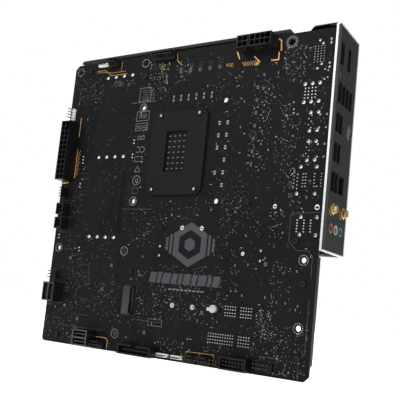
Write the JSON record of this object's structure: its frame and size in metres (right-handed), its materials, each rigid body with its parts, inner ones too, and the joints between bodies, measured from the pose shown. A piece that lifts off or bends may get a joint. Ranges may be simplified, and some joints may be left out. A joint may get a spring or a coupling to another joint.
{
  "type": "motherboard",
  "caption": "Compact desktop motherboard with its power, fan and drive connectors on the back face, memory and expansion slots and port block on the other, and hinged latches.",
  "frame": {"origin": "centre of the datum mounting hole on the board's back face", "axes": "+X towards the rear edge with the ports, +Y out of the component face, +Z towards the top edge, so the board stands upright and the face with the power connectors looks along -Y"},
  "size_m": [0.2526, 0.055, 0.2484],
  "materials": {
    "pcb_black": "satin",
    "solder": "satin",
    "backplate_steel": "satin",
    "screw_steel": "satin",
    "black_plastic": "matte",
    "bright_steel": "brushed",
    "black_aluminium": "anodised",
    "cover_plastic": "matte",
    "shield_dark": "matte",
    "shield_bright": "brushed",
    "brass": "satin",
    "white_plastic": "matte",
    "grey_plastic": "matte",
    "cell_steel": "brushed",
    "port_steel": "satin",
    "gold": "polished",
    "ferrite": "matte",
    "capacitor_aluminium": "satin",
    "chip_epoxy": "matte",
    "black_screws": "satin",
    "small_parts": "matte"
  },
  "bodies": {
    "board": {"pcb": "pcb_black", "solder_joints": "solder", "socket_backplate": "backplate_steel", "backplate_screws": "screw_steel", "socket_body": "black_plastic", "load_frame": "bright_steel", "vrm_heatsink_side": "black_aluminium", "vrm_heatsink_top": "black_aluminium", "io_cover": "cover_plastic", "top_edge_cover": "cover_plastic", "lower_cover": "cover_plastic", "io_shield": "shield_dark", "io_shield_rim": "shield_bright", "dimm_slot_1": "black_plastic", "dimm_slot_2": "black_plastic", "dimm_slot_3": "black_plastic", "dimm_slot_4": "black_plastic", "pcie_x16_slot": "black_plastic", "pcie_x16_shell": "bright_steel", "pcie_short_slots": "black_plastic", "usb_c_header": "port_steel", "m2_slot_back": "black_plastic", "m2_standoff": "brass", "m2_slot_front": "black_plastic", "m2_heatsink": "black_aluminium", "chipset_heatsink": "black_aluminium", "battery_holder": "black_plastic", "coin_cell": "cell_steel", "atx_24pin": "black_plastic", "eps_8pin": "black_plastic", "eps_4pin": "black_plastic", "fan_headers": "black_plastic", "white_headers": "white_plastic", "pin_headers": "black_plastic", "usb3_header": "black_plastic", "sata_stack_left": "black_plastic", "sata_stack_bottom": "black_plastic", "hdmi_port": "port_steel", "display_port": "port_steel", "usb_quad_stack": "port_steel", "usb_stacks": "port_steel", "lan_usb_stack": "port_steel", "audio_jacks": "black_plastic", "antenna_jacks": "gold", "wifi_module": "port_steel", "bios_switch": "black_plastic", "chokes": "ferrite", "capacitors": "capacitor_aluminium", "chips": "chip_epoxy", "cover_screws": "black_screws", "surface_parts": "small_parts"},
    "bios_button": {"bios_button": "grey_plastic"},
    "dimm_latch_1": {"dimm_latch_1": "grey_plastic"},
    "dimm_latch_2": {"dimm_latch_2": "grey_plastic"},
    "dimm_latch_3": {"dimm_latch_3": "grey_plastic"},
    "dimm_latch_4": {"dimm_latch_4": "grey_plastic"},
    "load_lever": {"load_lever": "bright_steel"},
    "load_plate": {"load_plate": "bright_steel"},
    "m2_latch": {"m2_latch": "white_plastic"},
    "pcie_latch": {"pcie_latch": "grey_plastic"}
  },
  "joints": [
    {"name": "lever_swing", "type": "hinge", "parent": "board", "child": "load_lever", "pos_m": [-0.11294, 0.0046, 0.11263], "axis": [1, 0, 0], "range_deg": [0, 105]},
    {"name": "plate_swing", "type": "hinge", "parent": "board", "child": "load_plate", "pos_m": [-0.11294, 0.0056, 0.10803], "axis": [1, 0, 0], "range_deg": [0, 100]},
    {"name": "dimm_latch_1_swing", "type": "hinge", "parent": "board", "child": "dimm_latch_1", "pos_m": [-0.16784, 0.0062, 0.15033], "axis": [1, 0, 0], "range_deg": [0, 32]},
    {"name": "dimm_latch_2_swing", "type": "hinge", "parent": "board", "child": "dimm_latch_2", "pos_m": [-0.17674, 0.0062, 0.15033], "axis": [1, 0, 0], "range_deg": [0, 32]},
    {"name": "dimm_latch_3_swing", "type": "hinge", "parent": "board", "child": "dimm_latch_3", "pos_m": [-0.18564, 0.0062, 0.15033], "axis": [1, 0, 0], "range_deg": [0, 32]},
    {"name": "dimm_latch_4_swing", "type": "hinge", "parent": "board", "child": "dimm_latch_4", "pos_m": [-0.19454, 0.0062, 0.15033], "axis": [1, 0, 0], "range_deg": [0, 32]},
    {"name": "pcie_latch_swing", "type": "hinge", "parent": "board", "child": "pcie_latch", "pos_m": [-0.12484, 0.0052, 0.00143], "axis": [0, 0, 1], "range_deg": [0, 25], "stiffness_Nm_per_rad": 0.004},
    {"name": "m2_latch_turn", "type": "hinge", "parent": "board", "child": "m2_latch", "pos_m": [-0.06484, -0.004, -0.03867], "axis": [0, 1, 0], "range_deg": [0, 90]},
    {"name": "bios_button_press", "type": "slide", "parent": "board", "child": "bios_button", "axis": [-1, 0, 0], "range_m": [0, 0.0008], "stiffness_N_per_m": 400}
  ],
  "couplings": [
    {"joint": "plate_swing", "follows": "lever_swing", "ratio": 0.95}
  ]
}
